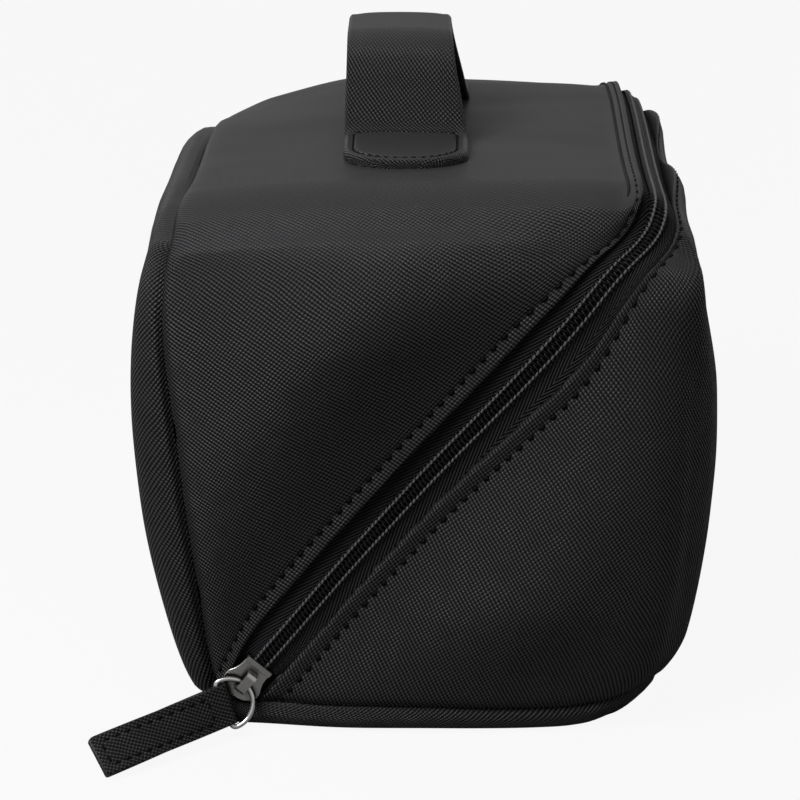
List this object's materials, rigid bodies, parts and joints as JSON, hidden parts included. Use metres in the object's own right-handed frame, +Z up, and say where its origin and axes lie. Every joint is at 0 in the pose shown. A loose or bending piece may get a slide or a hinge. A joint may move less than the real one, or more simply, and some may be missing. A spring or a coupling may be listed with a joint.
{
  "type": "cosmetic case",
  "caption": "Boxy soft-sided cosmetic case in embossed black leather-like sheet, with a padded top handle and a zip that runs corner to corner so that the lid swings open sideways.",
  "frame": {"origin": "centre of the bottom panel's flat face, on the surface that the case stands on", "axes": "+Z up, Y along the case's long side, -Y out of the end face with the slider, -X towards the lid's side panel"},
  "size_m": [0.1788, 0.2602, 0.1906],
  "materials": {
    "embossed_leather": "black leather-like sheet embossed with a fine crosshatch, semi-matt",
    "foam": "closed-cell foam, matt",
    "lining_cloth": "black plain-woven lining cloth",
    "binding": "black woven binding tape and sewing thread",
    "zip_tape": "black woven herringbone zip tape",
    "zip_coil": "black nylon coil under rows of chain stitch",
    "board": "stiffening board, matt",
    "slider_metal": "cast, nickel-plated, a little dull",
    "ring_metal": "bright nickel-plated wire"
  },
  "bodies": {
    "base": {"base_bottom_panel": "embossed_leather", "base_wall_panel": "embossed_leather", "base_wall_foam": "foam", "base_wall_lining": "lining_cloth", "base_seam_binding": "binding", "base_floor_board": "board", "base_floor_pad": "foam", "base_floor_lining": "lining_cloth", "base_zip_tape": "zip_tape", "base_coil": "zip_coil"},
    "lid": {"lid_top_panel": "embossed_leather", "lid_side_panel": "embossed_leather", "lid_top_foam": "foam", "lid_side_foam": "foam", "lid_lining": "lining_cloth", "lid_seam_binding": "binding", "hinge_binding": "binding", "lid_zip_tape": "zip_tape", "lid_coil": "zip_coil", "handle_strap": "embossed_leather", "handle_core": "foam", "handle_anchor_patches": "board"},
    "slider": {"slider_body": "slider_metal"},
    "ring": {"pull_ring": "ring_metal"},
    "tab": {"pull_tab_leather": "embossed_leather", "pull_tab_filler": "board"}
  },
  "joints": [
    {"name": "lid_hinge", "type": "hinge", "parent": "base", "child": "lid", "pos_m": [-0.0736, 0, 0.00635], "axis": [0, -1, 0], "range_deg": [0, 80], "deforming": ["lid_zip_tape", "lid_coil", "base_zip_tape", "base_coil"]},
    {"name": "slider_travel", "type": "slide", "parent": "base", "child": "slider", "axis": [0.656, 0, 0.7547], "range_m": [0, 0.149], "deforming": ["lid_coil", "base_coil"]},
    {"name": "ring_swing", "type": "hinge", "parent": "slider", "child": "ring", "pos_m": [-0.05156, -0.11535, 0.01615], "axis": [-0.7547, 0, 0.656], "range_deg": [-5, 80]},
    {"name": "tab_swing", "type": "hinge", "parent": "ring", "child": "tab", "pos_m": [-0.05739, -0.11798, 0.01048], "axis": [0.3576, -0.1498, -0.9218], "range_deg": [-90, 10]}
  ]
}
